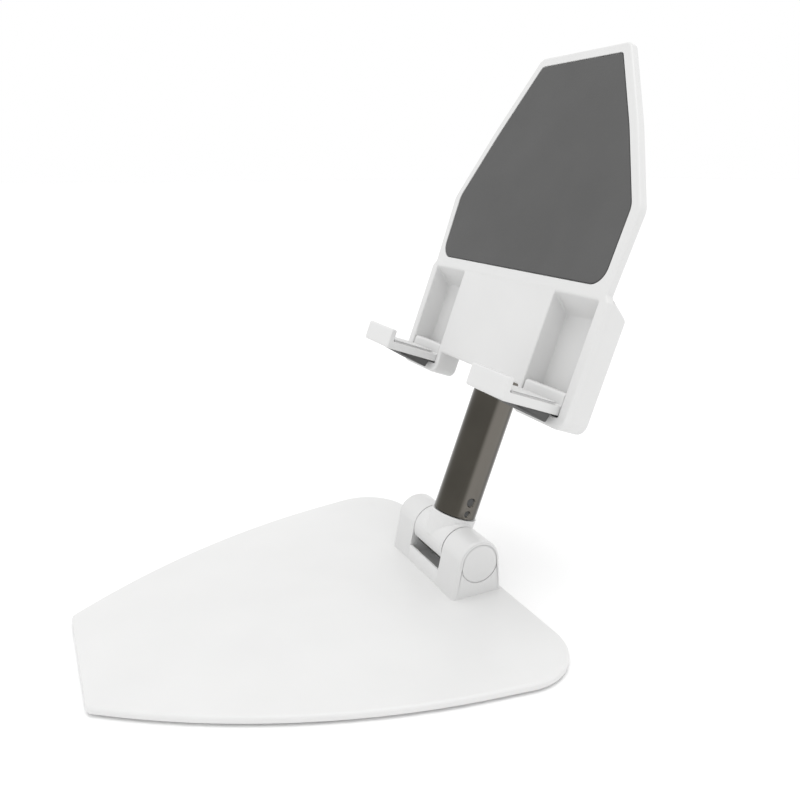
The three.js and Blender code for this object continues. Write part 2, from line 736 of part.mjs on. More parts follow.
function makeHook(side) {
  const [start, end] = spanX(side, channelInner + clearance, channelOuter - clearance);
  const barrel = rodX(hookBarrel, start, end, hookAxisU, hookAxisN, 28);
  const arm = prismHead([
    [hookAxisN, armBottom],
    [hookAxisN, armTop],
    [lipInside, armTop],
    [lipInside, armPadTop + lipHeight, 0.3],
    [lipOutside, armPadTop + lipHeight, 0.4],
    [lipOutside, armBottom, 0.6],
  ], start, end);
  const heel = prismHead([
    [hookAxisN, hookAxisU],
    [hookAxisN + hookBarrel, hookAxisU],
    [hookAxisN + hookBarrel, hookAxisU + hookBarrel, heelRound],
    [hookAxisN, hookAxisU + hookBarrel],
  ], start, end);
  const bore = rodX(
    hookPinRadius + clearance, start - overrun, end + overrun, hookAxisU, hookAxisN, smallSides);
  return cut(join(barrel, heel, arm), bore);
}

function makeHookPad(side) {
  const [start, end] = spanX(side, channelInner + clearance + 0.2, channelOuter - clearance - 0.2);
  return block([start, armTop + 0.1, wedgeStart], [end, armPadTop, lipInside - 0.2]);
}

function makeHookWedge(side) {
  const [start, end] = spanX(
    side, channelInner + clearance + wedgeInset, channelOuter - clearance - wedgeInset);
  return prismHead([
    [wedgeStart, armBottom - 0.15],
    [wedgeEnd, armBottom - 0.15],
    [wedgeEnd - 0.8, armBottom - wedgeShallow],
    [wedgeStart + 0.6, armBottom - wedgeDeep],
  ], start, end);
}

function makeHookPin(side) {
  const [start, end] = spanX(side, notchHalfWidth + clearance, boxHalfWidth - outerWallLeft - clearance);
  return rodX(hookPinRadius, start, end, hookAxisU, hookAxisN, 14);
}

hookSides.forEach(([word, side]) => {
  placeHead(`hook_${word}`, makeHook(side), whitePlastic());
  placeHead(`hook_pad_${word}`, makeHookPad(side), whiteRubber());
  placeHead(`hook_wedge_${word}`, makeHookWedge(side), greyRubber());
  placeHead(`hook_pin_${word}`, makeHookPin(side), steel());
});

// ---------------------------------------------------------------- origin at the middle of the footprint box

stand.updateMatrixWorld(true);
const extent = new THREE.Box3().setFromObject(stand, true);
const middle = extent.getCenter(new THREE.Vector3());
stand.position.set(-middle.x, -middle.y, -extent.min.z);

export default stand;
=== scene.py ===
import json
import math

import bpy
import numpy as np
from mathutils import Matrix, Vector
from mathutils.geometry import tessellate_polygon


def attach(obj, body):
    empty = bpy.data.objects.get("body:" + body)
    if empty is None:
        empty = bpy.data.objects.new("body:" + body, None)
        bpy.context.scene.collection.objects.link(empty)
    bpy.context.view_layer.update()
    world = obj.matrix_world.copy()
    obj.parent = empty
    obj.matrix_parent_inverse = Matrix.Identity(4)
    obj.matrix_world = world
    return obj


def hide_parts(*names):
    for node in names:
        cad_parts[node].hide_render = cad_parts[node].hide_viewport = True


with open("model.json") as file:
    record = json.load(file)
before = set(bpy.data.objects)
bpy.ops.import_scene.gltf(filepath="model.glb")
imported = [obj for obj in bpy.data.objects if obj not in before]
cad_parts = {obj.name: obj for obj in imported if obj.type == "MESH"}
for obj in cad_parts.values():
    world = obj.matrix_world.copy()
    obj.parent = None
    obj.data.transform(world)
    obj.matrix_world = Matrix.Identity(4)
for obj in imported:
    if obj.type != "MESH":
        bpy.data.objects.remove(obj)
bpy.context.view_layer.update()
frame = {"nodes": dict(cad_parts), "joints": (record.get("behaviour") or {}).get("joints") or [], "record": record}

# ------------------------------------------------------------------ places, millimetres

MM = 0.001
JOINTS = {joint["name"]: joint for joint in frame["joints"]}
HINGE = np.array(JOINTS["base_hinge"]["pos_m"]) / MM
UP = np.array(JOINTS["head_slide"]["axis"])
OUT = np.array([0.0, -UP[2], UP[1]])          # out of the head's face
HEAD_HEIGHT = 62.4
FACE_OFFSET = 7.4

# base
MAT_TOP = 0.4
PLATE_TOP = 1.8
BLOCK_HALF = 14.85
BLOCK_FRONT, BLOCK_BACK = -6.7, 5.75          # where the ears' faces meet the plate
FORK_HALF = 6.8
AXIS_Z = 9.4
CROWN_RADIUS = 5.1
EAR_SUNK = 0.9                                # how far the ears run on into the plate
SEAT_RADIUS, SEAT_FLOOR = 4.70, 14.55         # the caps' seats in the ears
CAP_RADIUS, CAP_FOOT, CAP_FACE, CAP_ROUND = 4.55, 14.50, 14.83, 0.25
SILL_TOP = 5.2
SILL_FLOOR = 2.8
SILL_FRONT, SILL_BACK = -5.5, 4.55            # the hollow under the barrel
SILL_SUNK, SILL_ROUND, SILL_REACH = 0.2, 0.1, 0.1

# post
TUBE_RADIUS = 5.0
TUBE_INNER = 4.2
TUBE_START = 6.2
TUBE_END = 57.3
TUBE_COLUMNS = 256
TUBE_EDGE_SHARE = 0.985                       # of the radius, past the bevel at each end
TUBE_LOW_BEVEL, TUBE_HIGH_BEVEL = 0.06, 0.15
DIMPLES = ((1.2, 0.75), (4.0, 1.05))          # height above the tube's start, radius
DIMPLE_DEPTH = 0.42
DIMPLE_ZONE = 5.6                             # rows lie closer together up to here

# head
FACE_THICK = 1.8
NOTCH_HALF = 16.2
LAND_BOTTOM = -22.4
WAIST, KINK, KINK_U, TOP_HALF, HEAD_TOP = 32.3, 33.1, 15.7, 14.5, 48.6
BOX_HALF = 33.4
BOX_TOP = -1.5
BOX_BOTTOM = -27.7
BOX_DEPTH = 6.1
BOX_SHOULDER = 2.6
BOX_ROUND = 0.7
RAIL_CORNERS = (2.2, 2.6, 0.8, 0.3)           # low inner, low outer, high outer, high inner
RAIL_OVERLAP = 0.2                            # the hidden opening behind the face lies inside
PAD_BOTTOM, PAD_TOP_U = 0.6, 46.4
PAD_RECESS, PAD_THICK, PAD_GAP, PAD_RIM = 0.8, 0.6, 0.2, 0.1
CHANNEL_IN, CHANNEL_OUT = 17.5, 30.9
CHANNEL_TOP, CHANNEL_BOTTOM = -2.1, -25.5
CHANNEL_DEPTH = 5.1
CHANNEL_SLOPE = 3.5
CHANNEL_CORNERS = (0.5, 0.5, 0.5, 0.5)
CHANNEL_RIM = 0.3

# hooks, as n out of the face and u up it
HOOK_IN, HOOK_OUT = 17.8, 30.6
ARM_TOP, ARM_BOTTOM = -23.2, -25.1
BARREL_BACK, BARREL_FRONT, BARREL_TOP, BARREL_ROUND = -4.7, -0.2, -20.6, 2.24
LIP_BACK, LIP_FRONT, LIP_TOP = 12.2, 13.6, -20.5
STRIP_BACK, STRIP_FRONT, STRIP_TOP, STRIP_FOOT = 1.0, 12.0, -22.7, -22.98
STEM_INSET, STEM_TOP, STEM_FOOT = 0.3, -22.9, -23.25
WEDGE_BACK, WEDGE_FRONT, WEDGE_TOP = 1.0, 9.8, -25.05

# studio, metres and degrees
FLOOR_HALF, FLOOR_Z = 6.0, -0.0002
WORLD_STRENGTH = 1.08
LAMP_PLACE, LAMP_AIM, LAMP_SIZE, LAMP_POWER = (0.1, 0.0, 1.0), (0, 0, 0.03), 0.6, 2.2
CAMERA_PLACE = (0.14216, -0.06124, 0.09172)
CAMERA_AZIMUTH, CAMERA_DOWN = 63.62, 16.64
CAMERA_LENS, CAMERA_SENSOR = 34.62, 36.0


def on_base(points):
    """Base drawing axes (x, y from the hinge, z) to the frame: y moves by the hinge's y."""
    return points + np.array([0.0, HINGE[1], 0.0])


def on_block(points):
    """Block drawing axes (y, z, x) to the frame: the columns change places and y moves."""
    return points[:, [2, 0, 1]] + np.array([0.0, HINGE[1], 0.0])


def on_post(points):
    """Post drawing axes (x, forward, along) to the frame: hinge + x + forward * OUT + along * UP."""
    return HINGE + points[:, :1] * [1.0, 0, 0] + points[:, 1:2] * OUT + points[:, 2:3] * UP


def on_head(points):
    """Head drawing axes (x, u, n) to the post's axes: n grows out of the face, u up it."""
    forward = points[:, 2] + FACE_OFFSET
    along = points[:, 1] + HEAD_HEIGHT
    return on_post(np.stack([points[:, 0], forward, along], 1))


def on_hook(points):
    """Hook drawing axes (n, u, x) to the head's: the first and last columns change places."""
    return on_head(points[:, [2, 1, 0]])


# ------------------------------------------------------------------ outlines and surfaces


def outline(corners, inset=0.0, fineness=9.0):
    """A closed outline of straight edges joined by arcs of the corners' radii, moved inwards by
    inset: each edge moves along its normal, and each arc's radius shrinks by inset on an outer
    corner and grows by it on an inner one."""
    xy = np.array([c[:2] for c in corners], float)
    radii = np.array([c[2] for c in corners], float)
    along = np.roll(xy, -1, 0) - xy
    along /= np.linalg.norm(along, axis=1)[:, None]
    start = xy + np.stack([-along[:, 1], along[:, 0]], 1) * inset
    points = []
    for i in range(len(xy)):
        a, b = along[i - 1], along[i]
        turn = a[0] * b[1] - a[1] * b[0]
        bend = math.atan2(turn, a @ b)
        gap = start[i] - start[i - 1]
        tip = start[i - 1] + a * ((gap[0] * b[1] - gap[1] * b[0]) / turn)
        side = math.copysign(1.0, bend)
        radius = max(radii[i] - side * inset, 0.02)
        back = radius * math.tan(abs(bend) / 2)
        centre = tip - a * back + np.array([-a[1], a[0]]) * radius * side
        steps = 3 + math.ceil(abs(bend) * (fineness + 3 * math.sqrt(radii[i])))
        angle = math.atan2(-a[0] * side, a[1] * side) + bend * np.linspace(0, 1, steps)
        points.append(centre + radius * np.stack([np.cos(angle), np.sin(angle)], 1))
    return np.concatenate(points)


def mirrored(half):
    """The whole outline from its right half's corners, bottom to top: x changes sign on the left."""
    return [*half, *[(-x, y, r) for x, y, r in reversed(half)]]


def levels(low, high, low_round, high_round, steps=6):
    """Pairs (inset, level) up a wall from low to high whose two edges are quarter circles, with a
    narrow flat band at each end so that the faces beyond stay flat."""
    theta = np.linspace(0, math.pi / 2, steps)
    bottom = [(low_round * (1 - math.sin(t)), low + low_round * (1 - math.cos(t))) for t in theta]
    top = [(high_round * (1 - math.cos(t)), high - high_round * (1 - math.sin(t))) for t in theta]
    band = 0.08
    wall = [(0, low + low_round + band), (0, high - high_round - band)]
    return [(low_round + band, low), *bottom, *wall, *top, (high_round + band, high)]


def level_ring(corners, inset, level):
    """The outline moved inwards by inset, at one level."""
    flat = outline(corners, inset)
    return np.column_stack([flat, np.full(len(flat), level)])


class Surface:
    """Collects rings of points and faces in a piece's drawing axes and makes one mesh of them."""

    def __init__(self):
        self.points, self.faces, self.count = [], [], 0

    def ring(self, ring):
        """Adds one ring of points; its mark is where it starts and how many points it has."""
        start = self.count
        self.points.append(np.asarray(ring, float))
        self.count += len(ring)
        return start, len(ring)

    def wall(self, rings, inward=False):
        """Quads between successive rings: outward for anticlockwise rings that rise."""
        marks = [self.ring(r) for r in rings]
        n = marks[0][1]
        i = np.arange(n)
        j = (i + 1) % n
        for (a, _), (b, _) in zip(marks, marks[1:]):
            order = (a + i, b + i, b + j, a + j) if inward else (a + i, a + j, b + j, b + i)
            self.faces.extend(np.stack(order, 1).tolist())
        return marks

    def cap(self, mark, flip=False):
        """One flat face over a ring."""
        start, n = mark
        face = list(range(start, start + n))
        self.faces.append(face[::-1] if flip else face)

    def fill(self, marks, flip=False):
        """Flat triangles between an outer ring and the rings inside it."""
        whole = np.concatenate(self.points)
        loops = [[Vector((*whole[k][:2], 0.0)) for k in range(s, s + n)] for s, n in marks]
        index = np.concatenate([np.arange(s, s + n) for s, n in marks])
        flat = np.array([v[:2] for loop in loops for v in loop])
        tri = np.array(tessellate_polygon(loops))
        a, b, c = (flat[tri[:, k]] for k in range(3))
        ab, ac = b - a, c - a
        area = ab[:, 0] * ac[:, 1] - ab[:, 1] * ac[:, 0]
        tri[area < 0] = tri[area < 0][:, ::-1]
        tri = tri[np.abs(area) > 1e-9]
        self.faces.extend(index[tri[:, ::-1] if flip else tri].tolist())

    def block(self, corners, low, high, low_round, high_round):
        """A closed solid from one outline between two levels, its edges rounded."""
        rows = levels(low, high, low_round, high_round)
        marks = self.wall([level_ring(corners, inset, level) for inset, level in rows])
        self.cap(marks[0], True)
        self.cap(marks[-1])

    def make(self, name, place, body, material, replaces, second=None, marked=None):
        """One mesh in its place. Faces that are marked take the second material."""
        mesh = bpy.data.meshes.new(name)
        points = place(np.concatenate(self.points)) * MM
        mesh.from_pydata(points.tolist(), [], self.faces)
        mesh.polygons.foreach_set("use_smooth", np.ones(len(mesh.polygons), bool))
        mesh.set_sharp_from_angle(angle=math.radians(40))
        mesh.materials.append(material)
        if second:
            mesh.materials.append(second)
            mesh.polygons.foreach_set("material_index", marked.astype(np.int32))
        mesh.update()
        piece = bpy.data.objects.new(name, mesh)
        bpy.context.scene.collection.objects.link(piece)
        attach(piece, body)
        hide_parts(*replaces)
        return piece


# ------------------------------------------------------------------ materials


def finish_of(name, low, high, rough, metal=0.0, scale=60.0, bump=0.0, bump_scale=900.0):
    """Two close shades and two roughnesses mixed by noise, with an optional fine grain."""
    material = bpy.data.materials.new(name)
    material.use_nodes = True
    nodes, links = material.node_tree.nodes, material.node_tree.links
    shader = nodes["Principled BSDF"]
    shader.inputs["Metallic"].default_value = metal
    place = nodes.new("ShaderNodeTexCoord")
    noise = nodes.new("ShaderNodeTexNoise")
    noise.inputs["Scale"].default_value = scale
    noise.inputs["Detail"].default_value = 4.0
    links.new(place.outputs["Object"], noise.inputs["Vector"])
    ramp = nodes.new("ShaderNodeValToRGB")
    ramp.color_ramp.elements[0].position = 0.35
    ramp.color_ramp.elements[1].position = 0.65
    ramp.color_ramp.elements[0].color = (*low, 1)
    ramp.color_ramp.elements[1].color = (*high, 1)
    links.new(noise.outputs["Fac"], ramp.inputs["Fac"])
    links.new(ramp.outputs["Color"], shader.inputs["Base Color"])
    spread = nodes.new("ShaderNodeMapRange")
    spread.inputs["To Min"].default_value = rough[0]
    spread.inputs["To Max"].default_value = rough[1]
    links.new(noise.outputs["Fac"], spread.inputs["Value"])
    links.new(spread.outputs["Result"], shader.inputs["Roughness"])
    if bump:
        grain = nodes.new("ShaderNodeTexNoise")
        grain.inputs["Scale"].default_value = bump_scale
        grain.inputs["Detail"].default_value = 2.0
        links.new(place.outputs["Object"], grain.inputs["Vector"])
        lift = nodes.new("ShaderNodeBump")
        lift.inputs["Strength"].default_value = bump
        lift.inputs["Distance"].default_value = 0.0001
        links.new(grain.outputs["Fac"], lift.inputs["Height"])
        links.new(lift.outputs["Normal"], shader.inputs["Normal"])
    return material


def grey(value):
    """A neutral grey, very slightly warm."""
    return (value, value, value * 0.995)


WHITE_PLASTIC = finish_of("white_plastic", grey(0.655), grey(0.670), (0.30, 0.38), bump=0.02)
WHITE_PAINT = finish_of(
    "white_paint", grey(0.690), grey(0.705), (0.38, 0.48), bump=0.10, bump_scale=1500)
GREY_RUBBER = finish_of(
    "grey_rubber", grey(0.082), grey(0.092), (0.78, 0.88), bump=0.25, bump_scale=2200)
MAT_RUBBER = finish_of(
    "mat_rubber", grey(0.40), grey(0.44), (0.75, 0.85), bump=0.2, bump_scale=2200)
WHITE_RUBBER = finish_of(
    "white_rubber", grey(0.66), grey(0.68), (0.60, 0.70), bump=0.1, bump_scale=2200)
DARK_PLASTIC = finish_of("dark_plastic", grey(0.050), grey(0.062), (0.42, 0.55), bump=0.1)
DARK_CHROME = finish_of(
    "dark_chrome", (0.056, 0.052, 0.044), (0.070, 0.065, 0.055), (0.14, 0.20), metal=1.0)
STEEL = finish_of(
    "steel", (0.50, 0.50, 0.51), (0.58, 0.58, 0.59), (0.25, 0.35), metal=1.0, scale=200)


def add_painted_reflection(material, start, full, colour):
    """Painted reflection: a paler band down the two sides of a tube that lies across X, where |x| nears its
    radius, stands in for the light mirrored there.
    """
    nodes, links = material.node_tree.nodes, material.node_tree.links
    shader = nodes["Principled BSDF"]
    base = shader.inputs["Base Color"].links[0].from_socket
    place = nodes.new("ShaderNodeTexCoord")
    split = nodes.new("ShaderNodeSeparateXYZ")
    links.new(place.outputs["Object"], split.inputs["Vector"])
    size = nodes.new("ShaderNodeMath")
    size.operation = "ABSOLUTE"
    links.new(split.outputs["X"], size.inputs[0])
    band = nodes.new("ShaderNodeMapRange")
    band.interpolation_type = "SMOOTHSTEP"
    band.inputs["From Min"].default_value = start
    band.inputs["From Max"].default_value = full
    links.new(size.outputs[0], band.inputs["Value"])
    mix = nodes.new("ShaderNodeMix")
    mix.data_type = "RGBA"
    factor, under, over = mix.inputs[0], mix.inputs[6], mix.inputs[7]     # the colour sockets
    over.default_value = (*colour, 1)
    links.new(band.outputs["Result"], factor)
    links.new(base, under)
    links.new(mix.outputs[2], shader.inputs["Base Color"])


# painted reflection: paler bands down the tube's two sides, where it would mirror the light
add_painted_reflection(DARK_CHROME, 0.0044, 0.00485, (0.150, 0.140, 0.125))
BY_SLOT = {
    "white_plastic": WHITE_PLASTIC, "white_paint": WHITE_PAINT, "white_rubber": WHITE_RUBBER,
    "grey_rubber": GREY_RUBBER, "dark_plastic": DARK_PLASTIC, "dark_chrome": DARK_CHROME,
    "steel": STEEL,
}
for part in frame["record"]["subparts"]:
    node = frame["nodes"][part["node"]]
    node.data.materials.clear()
    node.data.materials.append(BY_SLOT[part["material_slot"]])
    node.data.polygons.foreach_set("use_smooth", np.ones(len(node.data.polygons), bool))
    node.data.set_sharp_from_angle(angle=math.radians(32))

# ------------------------------------------------------------------ base

BASE_OUTLINE = mirrored([(16.2, -81.5, 2.0), (39.0, -49.6, 150), (48.2, 6.5, 12)])


def make_base():
    """The plate and the mat: one outline at two sizes, edges rounded by quarter circles."""
    plate = Surface()
    plate.block(BASE_OUTLINE, MAT_TOP, PLATE_TOP, 0.2, 0.6)
    plate.make("plate_skin", on_base, "base", WHITE_PAINT, ["base_plate"])
    mat = Surface()
    mat.block(BASE_OUTLINE, 0.0, MAT_TOP, 0.08, 0.05)
    mat.points = [p * [0.978, 0.974, 1.0] + [0.0, -1.0, 0.0] for p in mat.points]
    mat.make("mat_skin", on_base, "base", MAT_RUBBER, ["base_mat"])


def crown_corner(foot):
    """Where a straight face from the foot, tangent to the crown, meets the crown's top line: the
    face's lean is the tangent's angle at the foot less the angle down to the crown's centre."""
    rise = AXIS_Z - PLATE_TOP
    lean = math.acos(CROWN_RADIUS / math.hypot(foot, rise)) - math.atan2(rise, abs(foot))
    return foot - math.copysign(1, foot) * (rise + CROWN_RADIUS) * math.tan(lean)


def circle(radius, centre, level, count=72):
    """Points at equal angles round a centre, all at one level."""
    angle = np.linspace(0, 2 * math.pi, count, endpoint=False)
    x, y = centre[0] + radius * np.cos(angle), centre[1] + radius * np.sin(angle)
    return np.column_stack([x, y, np.full(count, level)])


def make_block():
    """Two ears with rounded outer edges and a round seat for the cap in each, joined by a low sill
    with a hollow under the barrel. An ear's outline is its two leaning faces, run on into the
    plate, and the crown's arc; the sill's faces lean by the same share of their height."""
    crown = AXIS_Z + CROWN_RADIUS
    height = crown - PLATE_TOP
    front_top, back_top = crown_corner(BLOCK_FRONT), crown_corner(BLOCK_BACK)
    share = EAR_SUNK / height
    foot = PLATE_TOP - EAR_SUNK
    ear = [
        (BLOCK_FRONT - (front_top - BLOCK_FRONT) * share, foot, 0.05),
        (BLOCK_BACK + (BLOCK_BACK - back_top) * share, foot, 0.05),
        (back_top, crown, CROWN_RADIUS), (front_top, crown, CROWN_RADIUS)]
    mouth = [
        (SEAT_RADIUS + 0.10, BLOCK_HALF), (SEAT_RADIUS + 0.02, BLOCK_HALF - 0.03),
        (SEAT_RADIUS, BLOCK_HALF - 0.12), (SEAT_RADIUS, SEAT_FLOOR)]
    block = Surface()
    for side in (-1, 1):
        rows = levels(FORK_HALF, BLOCK_HALF, 0.12, 0.8, 7)
        marks = block.wall([level_ring(ear, i, side * h) for i, h in rows], inward=side < 0)
        block.cap(marks[0], side > 0)
        seat = block.wall([circle(r, (0, AXIS_Z), side * h) for r, h in mouth], inward=side < 0)
        block.fill([marks[-1], seat[0]], side < 0)
        block.cap(seat[-1], side < 0)
    rise = SILL_TOP - PLATE_TOP
    front = BLOCK_FRONT + rise * (front_top - BLOCK_FRONT) / height
    back = BLOCK_BACK - rise * (BLOCK_BACK - back_top) / height
    foot = PLATE_TOP - SILL_SUNK
    sill = [
        (BLOCK_FRONT, foot), (BLOCK_BACK, foot), (back, SILL_TOP - SILL_ROUND),
        (back - SILL_ROUND, SILL_TOP), (SILL_BACK, SILL_TOP), (SILL_BACK, SILL_FLOOR),
        (SILL_FRONT, SILL_FLOOR), (SILL_FRONT, SILL_TOP), (front + SILL_ROUND, SILL_TOP),
        (front, SILL_TOP - SILL_ROUND)]
    reach = FORK_HALF + SILL_REACH
    marks = block.wall([np.column_stack([sill, np.full(len(sill), x)]) for x in (-reach, reach)])
    block.cap(marks[0], True)
    block.cap(marks[-1])
    block.make("block_skin", on_block, "base", WHITE_PLASTIC, ["hinge_block"])


def make_caps():
    """A disc in each ear: a flat face, a rim that is a quarter circle, and a short wall."""
    rows = [
        (CAP_RADIUS - CAP_ROUND, CAP_FOOT), (CAP_RADIUS, CAP_FOOT + 0.02),
        (CAP_RADIUS, CAP_FOOT + 0.05)]
    for t in np.linspace(0, math.pi / 2, 6):
        radius = CAP_RADIUS - CAP_ROUND * (1 - math.cos(t))
        rows.append((radius, CAP_FACE - CAP_ROUND * (1 - math.sin(t))))
    rows.append((CAP_RADIUS - CAP_ROUND - 0.1, CAP_FACE))
    for side, word in ((-1, "left"), (1, "right")):
        disc = Surface()
        rings = [circle(r, (0, AXIS_Z), side * h) for r, h in rows]
        marks = disc.wall(rings, inward=side < 0)
        disc.cap(marks[0], side > 0)
        disc.cap(marks[-1], side < 0)
        disc.make(
            f"cap_skin_{word}", on_block, "base", WHITE_PLASTIC,
            [f"end_cap_{word}"])


# ------------------------------------------------------------------ post


def make_post():
    """A tube of constant radius, less two round dimples on each side: depth falls from the dimple's
    middle to its rim as a steep smooth step of the distance along the surface."""
    fine = np.linspace(TUBE_START, TUBE_START + DIMPLE_ZONE, 70)
    coarse = np.linspace(TUBE_START + DIMPLE_ZONE + 0.2, TUBE_END - 2 * TUBE_HIGH_BEVEL, 60)
    angle = np.linspace(0, 2 * math.pi, TUBE_COLUMNS, endpoint=False)
    a, h = np.meshgrid(angle, np.concatenate([fine, coarse]))
    radius = np.full(a.shape, TUBE_RADIUS)
    deep = np.zeros(a.shape)
    for centre in (0.0, math.pi):
        around = (a - centre + math.pi) % (2 * math.pi) - math.pi
        for height, size in DIMPLES:
            distance = np.hypot(around * TUBE_RADIUS, h - TUBE_START - height)
            share = np.clip((size + 0.12 - distance) / 0.3, 0, 1)
            step = share * share * (3 - 2 * share)
            radius -= DIMPLE_DEPTH * step
            deep = np.maximum(deep, step)
    rows = np.stack([radius * np.cos(a), radius * np.sin(a), h], 2)
    edge = [TUBE_EDGE_SHARE, TUBE_EDGE_SHARE, 1]
    low = rows[0] * edge - [0, 0, TUBE_LOW_BEVEL]
    high = rows[-1] * edge + [0, 0, TUBE_HIGH_BEVEL]
    inner = circle(TUBE_INNER, (0, 0), TUBE_START - TUBE_LOW_BEVEL, TUBE_COLUMNS)
    inner_top = circle(TUBE_INNER, (0, 0), TUBE_END - TUBE_HIGH_BEVEL, TUBE_COLUMNS)
    tube = Surface()
    tube.wall([inner_top, inner, low, *rows, high, inner_top])
    marked = np.zeros(len(tube.faces), bool)
    first = 3 * TUBE_COLUMNS                  # the bore, the end and the bevel come before the rows
    marked[first:first + deep[:-1].size] = deep[:-1].ravel() > 0.75
    nodes = ["post_tube", "tube_pin_lower", "tube_pin_upper"]
    tube.make(
        "tube_skin", on_post, "post", DARK_CHROME, nodes, DARK_PLASTIC, marked)


# ------------------------------------------------------------------ head


def flank(wide, narrow, low, high):
    """The soft corner half way up a straight flank, moved out by 0.6 so that the flank bulges."""
    return ((wide + narrow) / 2 + 0.6, (low + high) / 2, 60)


FACE_OUTLINE = mirrored([
    (NOTCH_HALF, LAND_BOTTOM, 0.6), (NOTCH_HALF, BOX_BOTTOM, 2.2), (BOX_HALF, BOX_BOTTOM, 2.6),
    (BOX_HALF, BOX_TOP - 0.7, 0.5), (WAIST, BOX_TOP + 0.6, 0.5), (KINK, KINK_U, 4),
    flank(KINK, TOP_HALF, KINK_U, HEAD_TOP), (TOP_HALF, HEAD_TOP, 2.2)])
PAD_OUTLINE = mirrored([
    (WAIST - 2.2, PAD_BOTTOM, 3.6), (KINK - 2.6, KINK_U + 0.2, 4),
    flank(KINK - 2.6, TOP_HALF - 1.4, KINK_U, PAD_TOP_U), (TOP_HALF - 1.4, PAD_TOP_U, 1.2)])


def rail_corners(side, inner, outer, low, high, radii):
    """A rectangle beside the notch, anticlockwise, mirrored for the left side."""
    a, b = (inner, outer) if side > 0 else (-outer, -inner)
    r = radii if side > 0 else (radii[1], radii[0], radii[3], radii[2])
    return [(a, low, r[0]), (b, low, r[1]), (b, high, r[2]), (a, high, r[3])]


def channel_ring(side, inset, n):
    """The channel's outline at depth n: its top comes down by the slope's share of the depth."""
    top = CHANNEL_TOP + CHANNEL_SLOPE * n / CHANNEL_DEPTH
    corners = rail_corners(side, CHANNEL_IN, CHANNEL_OUT, CHANNEL_BOTTOM, top, CHANNEL_CORNERS)
    return level_ring(corners, inset, n)


def rail_ring(side, inset, n):
    """The rail's outline at depth n: its top comes down by the shoulder's share of the depth."""
    top = BOX_TOP - BOX_SHOULDER * min(1, (-n - FACE_THICK) / (BOX_DEPTH - FACE_THICK))
    corners = rail_corners(side, NOTCH_HALF, BOX_HALF, BOX_BOTTOM, top, RAIL_CORNERS)
    return level_ring(corners, inset, n)


def pocket(surface, rings):
    """A hollow's wall from its mouth to its floor, facing into the hollow, and the floor."""
    marks = surface.wall(rings[::-1], inward=True)
    surface.cap(marks[0])
    return marks[-1]


def make_head_front():
    """A face plate with rounded edges, a recess for the pad and a channel for each hook, and a
    deeper rail behind each channel whose top slopes back. The mouths' rims are quarter circles."""
    head = Surface()
    rows = levels(-FACE_THICK, 0, 0.15, 0.5, 7)
    outer = head.wall([level_ring(FACE_OUTLINE, i, h) for i, h in rows])
    rim = [(-PAD_GAP - PAD_RIM, 0.0)]
    for t in np.linspace(math.pi / 2, 0, 5):
        rim.append((-PAD_GAP - PAD_RIM * (1 - math.cos(t)), -PAD_RIM * (1 - math.sin(t))))
    rim.append((-PAD_GAP, -PAD_RECESS))
    holes = [pocket(head, [level_ring(PAD_OUTLINE, i, n) for i, n in rim])]
    behind = []
    mouth = [
        (CHANNEL_RIM * (math.sin(t) - 1), CHANNEL_RIM * (math.cos(t) - 1))
        for t in np.linspace(0, math.pi / 2, 6)]
    floor = [
        (0, -CHANNEL_DEPTH + 0.3), (0.09, -CHANNEL_DEPTH + 0.09), (0.3, -CHANNEL_DEPTH),
        (0.4, -CHANNEL_DEPTH)]
    back = levels(-BOX_DEPTH, -FACE_THICK + 0.1, BOX_ROUND, 0.0, 7)[:-2]
    for side in (-1, 1):
        holes.append(pocket(head, [channel_ring(side, i, n) for i, n in [*mouth, *floor]]))
        marks = head.wall([rail_ring(side, i, n) for i, n in back])
        head.cap(marks[0], True)
        front_n = back[-1][1]
        head.fill([marks[-1], head.ring(channel_ring(side, 0, front_n))])
        corners = rail_corners(
            side, NOTCH_HALF + RAIL_OVERLAP, BOX_HALF - RAIL_OVERLAP, BOX_BOTTOM + RAIL_OVERLAP,
            BOX_TOP - 0.9, (2.0, 2.4, 0.3, 0.3))
        behind.append(head.ring(level_ring(corners, 0, -FACE_THICK)))
    head.fill([outer[-1], *holes])
    head.fill([outer[0], *behind], True)
    head.make("head_skin", on_head, "head", WHITE_PLASTIC, ["head_front"])


def make_pad():
    """The face pad: its outline between two levels, the front edge softly rounded."""
    pad = Surface()
    pad.block(PAD_OUTLINE, -PAD_THICK, 0.0, 0.05, 0.2)
    pad.make("pad_skin", on_head, "head", GREY_RUBBER, ["face_pad"])


HOOK = [
    (BARREL_BACK, ARM_BOTTOM, BARREL_ROUND), (LIP_FRONT, ARM_BOTTOM, 0.6),
    (LIP_FRONT, LIP_TOP, 0.5), (LIP_BACK, LIP_TOP, 0.4), (LIP_BACK, ARM_TOP, 0.25),
    (BARREL_FRONT, ARM_TOP, 0.3), (BARREL_FRONT, BARREL_TOP, 0.6),
    (BARREL_BACK, BARREL_TOP, BARREL_ROUND)]
STRIP = [
    (STRIP_BACK, STRIP_FOOT, 0.05), (STRIP_FRONT, STRIP_FOOT, 0.05),
    (STRIP_FRONT, STRIP_TOP, 0.12), (STRIP_BACK, STRIP_TOP, 0.12)]
STEM = [
    (STRIP_BACK + STEM_INSET, STEM_FOOT, 0.05), (STRIP_FRONT - STEM_INSET, STEM_FOOT, 0.05),
    (STRIP_FRONT - STEM_INSET, STEM_TOP, 0.05), (STRIP_BACK + STEM_INSET, STEM_TOP, 0.05)]
# painted shade: the dark grey wedge under each hook's arm stands in for the shadow there
WEDGE = [
    (WEDGE_BACK + 0.6, -27.0, 0.4), (WEDGE_FRONT - 0.4, -25.5, 0.15),
    (WEDGE_FRONT, WEDGE_TOP, 0.05), (WEDGE_BACK, WEDGE_TOP, 0.05)]


